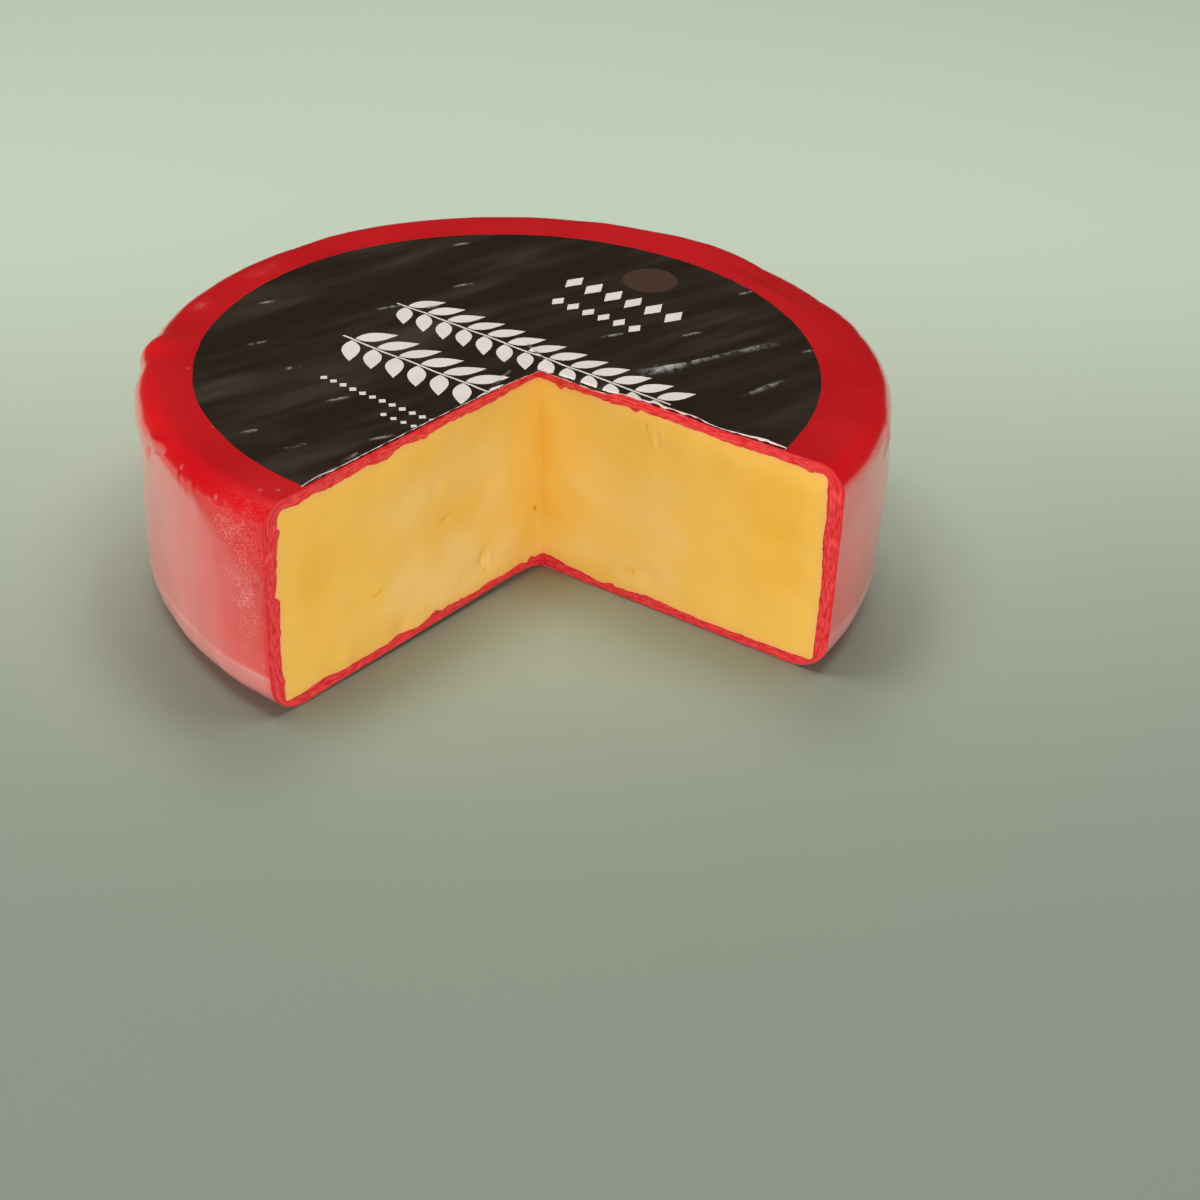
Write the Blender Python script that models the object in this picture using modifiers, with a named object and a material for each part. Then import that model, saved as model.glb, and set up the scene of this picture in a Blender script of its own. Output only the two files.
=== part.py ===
"""A waxed cheddar wheel with a quarter cut out of it, lying on its flat side.

Three pieces: the cheese paste, the wax coat round it and the printed film on its top.
The origin is the middle of the wheel's underside, +Z is up, and lengths are in metres.
"""

import math

import bmesh
import bpy
from mathutils import Vector, noise

# Driving dimensions of the wheel
WHEEL_RADIUS = 0.125
WHEEL_HEIGHT = 0.0764
TOP_EDGE_RADIUS = 0.009
BOTTOM_EDGE_RADIUS = 0.014
WAX_ON_FACES = 0.0034
WAX_ON_SIDE = 0.0046
PASTE_TOP_EDGE_RADIUS = 0.0045
PASTE_BOTTOM_EDGE_RADIUS = 0.0065
LABEL_RADIUS = 0.1033
LABEL_CENTRE = Vector((-0.0008, -0.0030))
LABEL_THICKNESS = 0.0004
GAP = 0.0003

# The cut: its inner corner leans a little from top to foot, and each side runs straight from
# there to a bearing on the rim
CUT_CORNER_TOP = Vector((0.0093, 0.0003))
CUT_CORNER_FOOT = Vector((0.0121, 0.0004))
CUT_RIM_BEARINGS = (-88.3, 2.5)
CUT_REACH = 0.15
CUT_MARGIN = 0.010
CUT_CELL = 0.006
CUT_WAVINESS = 0.00035

# How fine the faceted surfaces are
WAX_STEPS = 96
PASTE_STEPS = 80
EDGE_STEPS = 5
SIDE_STEPS = 6

# Dents and swellings of the outside: angle in degrees, height, half-width, half-height, rise
LUMPS = (
    (72.0, 0.070, 0.021, 0.024, -0.0026),
    (90.0, 0.070, 0.016, 0.020, 0.0004),
    (214.0, 0.073, 0.007, 0.008, 0.0014),
    (219.0, 0.064, 0.007, 0.007, -0.0013),
    (229.0, 0.066, 0.012, 0.008, 0.0006),
    (233.0, 0.048, 0.016, 0.016, -0.0009),
    (240.0, 0.040, 0.018, 0.020, -0.0009),
    (249.0, 0.058, 0.007, 0.005, -0.0016),
    (254.0, 0.050, 0.006, 0.016, 0.0009),
    (262.0, 0.020, 0.014, 0.012, 0.0007),
    (30.0, 0.040, 0.022, 0.020, 0.0009),
    (120.0, 0.035, 0.026, 0.022, -0.0010),
    (155.0, 0.050, 0.018, 0.020, 0.0010),
    (185.0, 0.030, 0.022, 0.018, -0.0009),
)

# Pits and smears in the cut faces: side, distance from the corner, height, half-width, depth
PITS = (
    (0, 0.051, 0.052, 0.0030, 0.0011),
    (0, 0.068, 0.007, 0.0040, 0.0009),
    (0, 0.094, 0.008, 0.0035, -0.0006),
    (0, 0.030, 0.014, 0.0045, 0.0006),
    (1, 0.050, 0.061, 0.0060, 0.0006),
    (1, 0.043, 0.012, 0.0050, 0.0007),
    (1, 0.083, 0.036, 0.0060, -0.0005),
)


def clear_scene():
    for obj in list(bpy.data.objects):
        bpy.data.objects.remove(obj, do_unlink=True)


def new_collection(name):
    collection = bpy.data.collections.new(name)
    bpy.context.scene.collection.children.link(collection)
    return collection


def plain_material(name, colour, roughness, coat=0.0):
    material = bpy.data.materials.new(name)
    material.use_nodes = True
    shader = material.node_tree.nodes["Principled BSDF"]
    shader.inputs["Base Color"].default_value = (*colour, 1.0)
    shader.inputs["Roughness"].default_value = roughness
    shader.inputs["Coat Weight"].default_value = coat
    material.diffuse_color = (*colour, 1.0)
    return material


def add_object(name, mesh, collection):
    obj = bpy.data.objects.new(name, mesh)
    collection.objects.link(obj)
    return obj


def as_cutter(obj):
    obj.hide_render = True
    obj.display_type = "WIRE"
    return obj


def cut_away(obj, cutter):
    modifier = obj.modifiers.new(f"Cut by {cutter.name}", "BOOLEAN")
    modifier.operation = "DIFFERENCE"
    modifier.solver = "EXACT"
    modifier.object = cutter


def arc(centre, radius, start, end, steps):
    """Points of an arc in the XZ plane, its angles in degrees from +X."""
    turn = [math.radians(start + (end - start) * i / steps) for i in range(steps + 1)]
    return [(centre[0] + radius * math.cos(a), centre[1] + radius * math.sin(a)) for a in turn]


def wheel_profile(radius, low, high, top_round, bottom_round, top_rings):
    """Half the wheel's section, from the axis over the top edge and down to the axis again."""
    shoulder = (radius - top_round, high - top_round)
    foot = (radius - bottom_round, low + bottom_round)
    drop = shoulder[1] - foot[1]
    points = [(ring, high) for ring in top_rings]
    points += arc(shoulder, top_round, 90, 0, EDGE_STEPS)
    points += [(radius, shoulder[1] - drop * i / SIDE_STEPS) for i in range(1, SIDE_STEPS)]
    points += arc(foot, bottom_round, 0, -90, EDGE_STEPS)
    return points + [(foot[0] * 0.6, low), (0.0, low)]


def turned_mesh(name, profile, steps):
    """A closed solid of revolution made with a Screw modifier, then applied."""
    mesh = bpy.data.meshes.new(name)
    edges = [(i, i + 1) for i in range(len(profile) - 1)]
    mesh.from_pydata([(x, 0.0, z) for x, z in profile], edges, [])
    obj = bpy.data.objects.new(name, mesh)
    bpy.context.scene.collection.objects.link(obj)
    screw = obj.modifiers.new("Turn", "SCREW")
    screw.axis = "Z"
    screw.steps = screw.render_steps = steps
    screw.use_merge_vertices = True
    screw.merge_threshold = 0.00001
    screw.use_smooth_shade = True
    graph = bpy.context.evaluated_depsgraph_get()
    solid = bpy.data.meshes.new_from_object(obj.evaluated_get(graph))
    bpy.data.objects.remove(obj, do_unlink=True)
    return solid


def smooth_step(low, high, value):
    share = min(max((value - low) / (high - low), 0.0), 1.0)
    return share * share * (3.0 - 2.0 * share)


def unevenness(point):
    """How far the hand-waxed outside stands out of the true turned form at this point."""
    ring = math.hypot(point.x, point.y)
    above_base = smooth_step(0.001, 0.012, point.z)
    off_label = smooth_step(LABEL_RADIUS + 0.002, WHEEL_RADIUS - 0.008, ring)
    rise = 0.0003 * noise.noise(point * 28.0) + 0.0003 * noise.noise(point * 75.0)
    for angle, height, half_width, half_height, lump in LUMPS:
        turn = math.atan2(point.y, point.x) - math.radians(angle)
        along = WHEEL_RADIUS * math.remainder(turn, math.tau) / half_width
        up = (point.z - height) / half_height
        rise += lump * math.exp(-along * along - up * up)
    return rise * above_base * off_label


def make_uneven(mesh, extra=None):
    """Move each vertex along its normal by the wheel's unevenness, and by extra(point) if given."""
    bm = bmesh.new()
    bm.from_mesh(mesh)
    bm.normal_update()
    shifts = [unevenness(v.co) + (extra(v.co) if extra else 0.0) for v in bm.verts]
    for vert, shift in zip(bm.verts, shifts):
        vert.co += vert.normal * shift
    bm.to_mesh(mesh)
    bm.free()


def grow(mesh, amount):
    """The same closed mesh with its surface moved out by amount."""
    bigger = mesh.copy()
    normals = [v.normal.copy() for v in mesh.vertices]
    for vert, normal in zip(bigger.vertices, normals):
        vert.co += normal * amount
    return bigger


def wax_thinning(point):
    """Where the coat is thinner than usual, the paste comes nearer to the outside."""
    return 0.0007 * noise.noise(point * 60.0 + Vector((3.0, 7.0, 1.0)))


def relief(side, along, height):
    """The knife's waviness and the pits and smears in one side of the cut."""
    at_corner = smooth_step(0.0, 0.004, along)
    wave = CUT_WAVINESS * noise.noise(Vector((along * 70.0, height * 90.0, side * 9.0)))
    for pit_side, pit_along, pit_height, half_width, depth in PITS:
        if pit_side == side:
            distance = math.hypot(along - pit_along, height - pit_height) / half_width
            wave += depth * math.exp(-distance * distance)
    return wave * at_corner


def cut_point(u, height):
    """A point of the cut's two faces: u runs from the end of one side over the corner to the other."""
    side = 0 if u < 0.0 else 1
    corner = CUT_CORNER_FOOT.lerp(CUT_CORNER_TOP, height / WHEEL_HEIGHT)
    bearing = math.radians(CUT_RIM_BEARINGS[side])
    rim = Vector((math.cos(bearing), math.sin(bearing))) * WHEEL_RADIUS
    way = (rim - corner).normalized()
    into_cheese = Vector((way.y, -way.x)) if side == 0 else Vector((-way.y, way.x))
    along = abs(u) * CUT_REACH
    place = corner + way * along + into_cheese * relief(side, along, height)
    return Vector((*place, height))


def cut_solid(collection):
    """The space that the taken wedge left: a folded wavy sheet, swept outward along its middle."""
    columns = 2 * round(CUT_REACH / CUT_CELL)
    rows = round((WHEEL_HEIGHT + 2 * CUT_MARGIN) / CUT_CELL)
    bm = bmesh.new()
    bmesh.ops.create_grid(bm, x_segments=columns, y_segments=rows, size=1.0)
    for vert in bm.verts:
        height = (WHEEL_HEIGHT / 2) + vert.co.y * (WHEEL_HEIGHT / 2 + CUT_MARGIN)
        vert.co = cut_point(vert.co.x, height)
    swept = bmesh.ops.extrude_face_region(bm, geom=bm.faces[:], use_keep_orig=True)
    middle = math.radians(sum(CUT_RIM_BEARINGS) / 2)
    outward = Vector((math.cos(middle), math.sin(middle), 0.0)) * 2 * CUT_REACH
    moved = [item for item in swept["geom"] if isinstance(item, bmesh.types.BMVert)]
    bmesh.ops.translate(bm, verts=moved, vec=outward)
    bmesh.ops.recalc_face_normals(bm, faces=bm.faces[:])
    mesh = bpy.data.meshes.new("taken_wedge")
    bm.to_mesh(mesh)
    bm.free()
    return as_cutter(add_object("taken_wedge", mesh, collection))


def disc(name, radius, low, high, collection):
    """A flat round solid centred on the label's own middle."""
    bm = bmesh.new()
    bmesh.ops.create_cone(
        bm, cap_ends=True, segments=WAX_STEPS, radius1=radius, radius2=radius, depth=high - low
    )
    bmesh.ops.translate(bm, verts=bm.verts, vec=(*LABEL_CENTRE, (low + high) / 2))
    mesh = bpy.data.meshes.new(name)
    bm.to_mesh(mesh)
    bm.free()
    return add_object(name, mesh, collection)


def build_paste(parts, wedge):
    """The cheese itself, cut through, with the unevenness that the wax follows."""
    profile = wheel_profile(
        radius=WHEEL_RADIUS - WAX_ON_SIDE - GAP,
        low=WAX_ON_FACES + GAP,
        high=WHEEL_HEIGHT - WAX_ON_FACES - GAP,
        top_round=PASTE_TOP_EDGE_RADIUS,
        bottom_round=PASTE_BOTTOM_EDGE_RADIUS,
        top_rings=(0.0, 0.6 * LABEL_RADIUS, LABEL_RADIUS),
    )
    mesh = turned_mesh("cheese_paste", profile, PASTE_STEPS)
    make_uneven(mesh, wax_thinning)
    whole = mesh.copy()
    paste = add_object("cheese_paste", mesh, parts)
    cut_away(paste, wedge)
    mesh.materials.append(plain_material("cheese", (0.78, 0.40, 0.07), 0.45))
    return whole


def build_wax(parts, cutters, wedge, whole_paste):
    """The coat: the turned outside, hollowed by the paste and by the label's shallow seat."""
    profile = wheel_profile(
        radius=WHEEL_RADIUS,
        low=0.0,
        high=WHEEL_HEIGHT,
        top_round=TOP_EDGE_RADIUS,
        bottom_round=BOTTOM_EDGE_RADIUS,
        top_rings=(0.0, 0.6 * LABEL_RADIUS, LABEL_RADIUS + 0.004, LABEL_RADIUS + 0.008),
    )
    mesh = turned_mesh("wax_coat", profile, WAX_STEPS)
    make_uneven(mesh)
    wax = add_object("wax_coat", mesh, parts)
    hollow = as_cutter(add_object("paste_space", grow(whole_paste, GAP), cutters))
    seat_floor = WHEEL_HEIGHT - LABEL_THICKNESS - GAP
    seat_top = WHEEL_HEIGHT + CUT_MARGIN
    seat = as_cutter(disc("label_seat", LABEL_RADIUS + GAP, seat_floor, seat_top, cutters))
    for cutter in (hollow, seat, wedge):
        cut_away(wax, cutter)
    mesh.materials.append(plain_material("red_wax", (0.52, 0.014, 0.018), 0.3, coat=0.4))


def build_label(parts, wedge):
    """The dark printed film, flush with the wax round it."""
    low = WHEEL_HEIGHT - LABEL_THICKNESS
    label = disc("film_label", LABEL_RADIUS, low, WHEEL_HEIGHT, parts)
    cut_away(label, wedge)
    label.data.materials.append(plain_material("film", (0.022, 0.014, 0.010), 0.3))


def shade(parts):
    for obj in parts.objects:
        obj.data.shade_smooth()
        obj.data.set_sharp_from_angle(angle=math.radians(35))


def main():
    clear_scene()
    parts = new_collection("cheddar_wheel")
    cutters = new_collection("cutters")
    wedge = cut_solid(cutters)
    whole_paste = build_paste(parts, wedge)
    build_wax(parts, cutters, wedge, whole_paste)
    build_label(parts, wedge)
    shade(parts)


main()
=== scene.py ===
"""The looks of a waxed cheddar wheel with a wedge cut out: its wax, paste and wrinkled film,
on a plain pale floor in soft studio light. Lengths are in metres, but in millimetres in the tables
that say so, and bearings are in degrees."""

import math

import bmesh
import bpy
import numpy as np
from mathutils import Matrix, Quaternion, Vector, noise
from mathutils.geometry import delaunay_2d_cdt


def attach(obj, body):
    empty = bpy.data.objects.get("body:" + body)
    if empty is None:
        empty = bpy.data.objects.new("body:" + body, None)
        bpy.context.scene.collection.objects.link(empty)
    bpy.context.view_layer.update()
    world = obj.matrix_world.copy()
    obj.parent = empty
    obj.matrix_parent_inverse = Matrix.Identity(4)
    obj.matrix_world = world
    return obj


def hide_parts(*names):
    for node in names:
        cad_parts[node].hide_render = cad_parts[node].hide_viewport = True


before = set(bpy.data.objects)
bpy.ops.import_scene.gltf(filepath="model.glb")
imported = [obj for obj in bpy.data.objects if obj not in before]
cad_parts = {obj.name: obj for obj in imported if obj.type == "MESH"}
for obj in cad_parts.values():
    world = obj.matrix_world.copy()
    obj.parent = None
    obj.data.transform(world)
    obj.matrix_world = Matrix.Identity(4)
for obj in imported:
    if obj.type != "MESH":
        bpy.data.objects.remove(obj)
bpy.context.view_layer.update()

# The wheel, as its solids were built
WHEEL_RADIUS = 0.125
WHEEL_HEIGHT = 0.0764
TOP_EDGE_RADIUS = 0.009
BOTTOM_EDGE_RADIUS = 0.014
WHEEL_ROUNDS = (TOP_EDGE_RADIUS, BOTTOM_EDGE_RADIUS)
LABEL_RADIUS = 0.1033
LABEL_CENTRE = np.array((-0.0008, -0.0030))

# Millimetres round the rim to one degree of bearing
RIM_DEGREE = math.radians(WHEEL_RADIUS * 1000.0)

# The cut, from its inner corner to the two bearings where it leaves the rim
CORNER_TOP = np.array((0.0093, 0.0003))
CORNER_FOOT = np.array((0.0121, 0.0004))
LEFT, RIGHT = 0, 1
RIM_BEARINGS = {LEFT: 271.7, RIGHT: 2.5}

# The film lies on the wax, a thin lip of wax laps its round edge, and it bends down over the cut
FILM_TOP = 0.07645
FILM_SEAT = 0.07612
LIP_TOP = 0.07647
FILM_UNDER_LIP = 0.0008
FILM_BEND = 0.00045

# How fine the film's grid, its cut edge and the edges of its print are, and how far behind its cut
# edge it has more rows of points
FILM_CELL = 0.00062
FILM_STEP = 0.0004
PRINT_STEP = 0.0006
FILM_HEM = (0.00012, 0.00019, 0.00028, 0.00065, 0.00085)

# The paste's mean outline in a cut face: base, top, distance in from the rim, and its outer corners
PASTE_LOW = 0.0045
PASTE_HIGH = 0.0726
PASTE_RIM = 0.0055
PASTE_CORNERS = (0.0016, 0.0016)

# How far the paste goes on under the wax, how fine and how long its cut faces are, and how thick the
# outer shell of wax is
PASTE_UNDER_WAX = 0.0008
PASTE_SPAN = (PASTE_LOW - PASTE_UNDER_WAX, PASTE_HIGH + PASTE_UNDER_WAX)
PASTE_CELL = 0.00055
CUT_LENGTH = 0.112
WAX_SHELL = 0.0012

# Points closer than this are welded, and edges that turn by more than this many degrees stay sharp
WELD_GAP = 0.000002
SHARP_ANGLE = 50.0

# Where the uneven wax really ends in each cut face, in millimetres: the paste's base and its top
# against the distance from the corner, and its distance in from the rim against the height
BAND_FOOT = {
    LEFT: ((0, 5.1), (8, 5.0), (11, 6.3), (14, 6.1), (20, 5.7), (26, 5.9), (32, 4.8), (40, 5.1),
           (47, 5.6), (50, 5.3), (53, 6.7), (55, 5.8), (58, 4.9), (61, 4.1), (70, 4.9), (75, 4.3),
           (96, 4.2), (99, 4.5), (103, 5.1), (107, 4.9), (112, 4.3), (120, 4.5)),
    RIGHT: ((0, 5.1), (4, 5.6), (7, 5.2), (12, 4.3), (16, 3.8), (22, 3.0), (24, 2.5), (27, 3.0),
            (37, 3.6), (43, 4.2), (47, 3.9), (58, 3.4), (100, 3.9), (112, 4.6), (120, 5.2)),
}
BAND_TOP = {
    LEFT: ((0, 72.5), (6, 73.2), (15, 73.2), (24, 72.5), (30, 72.3), (36, 72.8), (44, 73.4), (50, 73.0),
           (55, 72.2), (62, 72.5), (69, 73.2), (73, 71.5), (77, 71.6), (82, 72.7), (89, 72.2),
           (94, 71.9), (100, 72.0), (106, 72.7), (110, 72.3), (120, 72.8)),
    RIGHT: ((0, 72.5), (29, 72.3), (34, 72.7), (41, 73.0), (60, 73.1), (80, 72.8), (120, 72.6)),
}
BAND_RIM = {
    LEFT: ((5, 5.8), (15, 5.4), (24, 4.8), (33, 5.4), (40, 5.8), (42, 5.5), (44, 4.2), (50, 4.9),
           (56, 5.6), (61, 6.0), (67, 6.3), (70, 6.2), (72, 7.1)),
    RIGHT: ((5, 5.4), (30, 5.0), (50, 5.7), (72, 6.4)),
}

# Noise in layers, each with how far it strays in millimetres and how fine it is
OUTSIDE_WAVES = ((0.3, 28.0), (0.3, 75.0))
HAMMERED_WAX = ((0.12, 150.0), (0.04, 420.0))
LABEL_WAVES = ((0.5, 1.0), (0.2, 7.0))
BLOOM_AND_SHEEN_EDGE = ((1.6, 55.0), (0.6, 260.0))
TORN_WAX = ((0.45, 45.0), (0.45, 150.0), (0.35, 420.0), (0.2, 1100.0))
TORN_FILM = ((0.06, 350.0), (0.05, 1100.0))

# How far the knife strayed to either side
CUT_WAVINESS = 0.00035

# The band of cut wax in rows across it: the share of the way from its outer edge to the paste, and
# the depth into the cheese in millimetres. Its front comes first, and then its hidden back.
BAND_ROWS = (
    (0.0, 0.0), (0.02, -0.08), (0.06, -0.16), (0.12, -0.2), (0.2, -0.2), (0.3, -0.2), (0.4, -0.2),
    (0.5, -0.2), (0.6, -0.2), (0.7, -0.2), (0.8, -0.2), (0.88, -0.18), (0.94, -0.14), (0.98, -0.06),
    (1.0, 0.08), (1.0, 1.2), (0.9, 1.2), (0.4, 1.2), (0.03, 1.2), (0.0, 0.0),
)

# How far the base stands off the floor along the left cut, in millimetres
FOOT_LIFT = ((0, 0.2), (5, 2.0), (11, 2.8), (20, 2.8), (35, 2.4), (60, 1.7), (84, 1.2), (100, 0.8),
             (117, 0.2))
FOOT_LIFT_DEPTH = 0.016

# Dents and swellings of the outside: bearing, then in millimetres the height, half-width, half-height
# and rise
LUMPS = (
    (72, 70, 21, 24, -2.6), (90, 70, 16, 20, 0.4), (214, 73, 7, 8, 1.4), (219, 64, 7, 7, -0.8),
    (229, 66, 12, 8, 0.6), (233, 48, 16, 16, -0.6), (240, 40, 18, 20, -0.6),
    (249, 54, 10, 10, -0.5), (262, 20, 14, 12, 0.5), (30, 40, 22, 20, 0.9), (120, 35, 26, 22, -1),
    (155, 50, 18, 20, 1), (185, 30, 22, 18, -0.9),
)

# Creases (+) and grooves (-) of the wax: bearing and height at both ends, half-width and rise, with
# lengths in millimetres. Past the top edge the height goes on growing inward over the flat ring.
WAX_MARKS = (
    (241.2, 71.2, 247, 75.6, 1.2, 1.2), (239.8, 62.5, 241.6, 68.8, 1.5, -1.5),
    (242.3, 69, 246.5, 72.2, 1.1, -1), (252.2, 72, 253, 68, 0.9, 0.3),
    (254.6, 70.5, 255.4, 64.5, 0.8, 0.3), (256.3, 72, 257.2, 69, 0.9, 0.3),
    (260.4, 72.2, 262.6, 70, 0.8, 0.3), (263.6, 73.5, 266.2, 72.2, 0.7, 0.3),
    (267.2, 73.5, 268.8, 72.8, 0.8, 0.3), (242, 15.4, 257, 15.5, 0.7, 0.5),
    (257, 15.5, 271.7, 15.2, 0.6, 0.4), (270.1, 51, 270.4, 46.5, 1.1, -0.9),
    (271.2, 64, 271.3, 60, 0.8, -0.5), (270.9, 38, 271.1, 34, 0.8, -0.4),
    (271.3, 21, 271.5, 20, 0.6, 0.7), (12, 15, 60, 15.6, 0.7, 0.4), (95, 15.4, 150, 15, 0.7, 0.4),
    (170, 15.2, 225, 15.6, 0.7, 0.4), (20, 62, 24, 71, 1.2, 0.8), (66, 56, 78, 60, 1.2, 0.7),
    (104, 70, 109, 66, 1, 0.8), (138, 61, 141, 70, 1.1, 0.7), (168, 68, 173, 72, 1, 0.8),
    (196, 66, 203, 70, 1.1, 0.8),
)

# Small painted highlight dots on the wax: bearing, then height in millimetres, and the half-width of
# each
GLINT_DOTS = (
    (267.4, 81.4), (269.3, 84.7), (245.6, 91.4), (223.5, 90.1), (262, 72.2), (252.6, 73.5),
    (270.6, 20),
)
GLINT_DOT_SIZE = 0.5

# The side's pale bloom, partly wax bloom and partly a painted sheen where the side mirrors the light:
# how much at each bearing, and up to which height in millimetres. A painted highlight line runs round
# where the rounded foot begins.
BLOOM_AND_SHEEN_AHEAD = ((0, 0.55), (120, 0.35), (205, 0.5), (228, 0.60), (240, 0.62), (251, 0.78), (258, 0.64),
               (262, 0.42), (266, 0.29), (270.6, 0.17), (271.3, 0.0), (272, 0.0))
BLOOM_AND_SHEEN_TOP = ((0, 70.5), (250, 70.5), (257, 68.0), (262, 64.0), (267, 60.0), (272, 58.0))
FOOT_HIGHLIGHT_LINE = 0.0156

# Where the wax has a fine orange-peel skin, with painted glint specks over it: bearing, then height,
# half-width and half-height in millimetres
PEEL_AND_GLINT_PATCHES = (
    (268, 50, 8, 22), (265.5, 64, 10, 7), (221, 46, 10, 12), (182, 85, 6, 2.2), (200, 83, 4, 2),
    (77, 84, 8, 1.2), (143, 36, 20, 18), (48, 52, 18, 14),
)

# Pits (+) and smears (-) in each cut face, in millimetres: distance from the corner, height,
# half-width, half-height and depth
PITS = {
    LEFT: (
        (51, 52, 3, 3, 0.4), (68, 7, 4, 4, 0.9), (94, 8, 3.5, 3.5, -0.6), (30, 14, 4.5, 4.5, 0.6),
    ),
    RIGHT: (
        (50, 61, 6, 6, 0.6), (43, 12, 5, 5, 0.7), (83, 36, 6, 6, -0.5),
    ),
}

# Scratches, crumbs and dimples of the paste, in millimetres: distance from the corner and height at
# both ends, half-width and depth into the cheese
PASTE_MARKS = {
    LEFT: (
        (48.6, 38.5, 44.8, 38.5, 1.2, 0.7), (47, 41.2, 45.5, 41, 0.7, -0.3),
        (80.6, 24.6, 76.4, 24.8, 0.6, 0.5), (80.6, 26.6, 77, 26.8, 0.7, -0.4),
        (73, 23.6, 70.4, 23.2, 0.5, 0.4), (30, 18.2, 29.7, 13.5, 0.6, 0.6),
        (26.2, 17.5, 25.8, 12, 0.6, -0.4), (40, 18, 40.2, 17.4, 0.6, -0.5),
        (41, 15, 41.2, 14.4, 0.6, -0.6), (43.9, 14, 44, 13.6, 0.5, -0.5),
        (28, 11, 27.9, 10.6, 0.5, 0.6), (22, 8.4, 21.9, 8.1, 0.4, 0.5),
        (56.8, 9.8, 56.7, 9.4, 0.5, 0.6), (57.8, 8.3, 57.7, 8, 0.4, 0.6),
        (2.8, 24.4, 2.8, 24, 0.5, 1),
    ),
    RIGHT: (
        (41.6, 69, 41.8, 66.5, 0.8, 0.5), (44.8, 66.8, 45.2, 60.6, 1, -0.4),
        (48, 69, 48.4, 65, 0.9, -0.4), (46.8, 64, 47, 60, 0.6, 0.3),
        (37.8, 12, 36.8, 10.8, 0.7, 0.5), (35, 11.9, 34.8, 11.6, 0.4, 0.4),
    ),
}

# Deeper (+) and paler (-) orange in each cut face, with painted shade as deeper orange along the
# corner and over the outer parts: distance from the corner, height, half-width and half-height in
# millimetres, then the share
PASTE_TINTS_AND_SHADE = {
    LEFT: (
        (3, 54, 10, 17, 0.25), (5, 28, 7, 9, 0.4), (24, 48, 14, 22, -0.6), (32, 13, 45, 9, -0.9),
        (7, 15, 6, 4, 0.7), (46, 39, 4, 4, 0.8), (38, 39, 7, 3, 0.4), (78, 25, 5, 4, 0.3),
        (30, 16, 1.5, 4, 0.7), (100, 50, 18, 22, 0.7), (50, 25, 6, 6, 0.3), (65, 54, 26, 14, -0.8),
        (58, 22, 30, 16, -1), (40, 28, 10, 7, -0.4), (40.2, 17.8, 0.8, 0.8, -1.5),
        (41.1, 14.7, 1, 0.9, -1.8), (43.9, 13.8, 0.9, 0.8, -1.6), (2.8, 24.2, 0.8, 0.8, 3),
        (28, 10.8, 0.8, 0.8, 1.2), (22, 8.3, 0.7, 0.7, 1), (56.8, 9.6, 0.8, 0.8, 1.4),
        (57.8, 8.2, 0.7, 0.7, 1.2),
    ),
    RIGHT: (
        (0, 40, 3.5, 45, 0.7), (18, 55, 12, 18, -0.4), (32, 12, 36, 8, -0.8), (2, 52, 10, 16, 0.3),
        (8, 37, 12, 12, 0.2), (6, 22, 6, 6, 0.6), (56, 71, 7, 3, 0.7), (42, 68, 2, 3, 0.5),
        (37.5, 11.5, 1.8, 1.6, 1.2), (34.9, 11.8, 0.9, 0.8, 1), (47, 64, 4, 6, -0.5),
        (50, 34, 28, 22, -0.6), (14, 39, 5, 4, -0.4), (88, 45, 24, 34, 0.7),
    ),
}

# The film's cut edge along each side, all in millimetres: against the distance from the corner, how
# far it is drawn back from the cut, how far it hangs down over the wax, how far it curls up, and how
# much of its edge is pale
FILM_SETBACK = {
    LEFT: ((0, -0.4), (20, -0.1), (38, 0.4), (60, 0.7), (107, 1.0)),
    RIGHT: ((0, -0.4), (28, -0.4), (34, 1.0), (60, 1.3), (66, 0.2), (72, 0.1), (82, 1.1), (100, 1.4)),
}
FILM_DROOP = {
    LEFT: ((0, 1.2), (6, 0.6), (14, 0.2), (22, 0.0)),
    RIGHT: ((0, 0.8), (8, 0.9), (15, 1.1), (22, 1.4), (26, 1.1), (30, 0.5), (33, 0.0)),
}
FILM_CURL = {
    LEFT: ((0, 0.0), (20, 0.1), (60, 0.3), (96, 0.4), (102, 0.9), (107, 0.3)),
    RIGHT: ((0, 0.0), (32, 0.1), (42, 0.4), (62, 0.6), (70, 0.3), (80, 0.5), (86, 1.1), (92, 0.7),
            (100, 0.2)),
}
FILM_LIGHT_EDGE = {
    LEFT: ((0, 0.10), (20, 0.14), (60, 0.20), (98, 0.30)),
    RIGHT: ((0, 0.12), (30, 0.16), (36, 0.40), (62, 0.50), (68, 0.20), (78, 0.35), (84, 0.90),
            (91, 0.60), (95, 0.20)),
}

# Where the film's frayed tuft starts, is fullest and ends, along the right side of the cut
TUFT = (0.083, 0.093, 0.095)

# Creases of the film, in millimetres: both ends, half-width and rise
FILM_CREASES = (
    (39, 17, 53, 51, 0.9, 0.9), (38, 20, 45, 30, 2.2, 0.8), (53, 51, 60, 65, 1.2, 0.7),
    (73, 28, 77, 44, 0.9, 0.6), (-6, 12, 12, 3, 0.5, 0.4), (4, -8, 7, -23, 0.5, 0.4),
    (3.7, -101, 3.6, -92.2, 0.6, 0.4), (3, -88, 2.6, -81, 0.6, 0.4),
)

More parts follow.
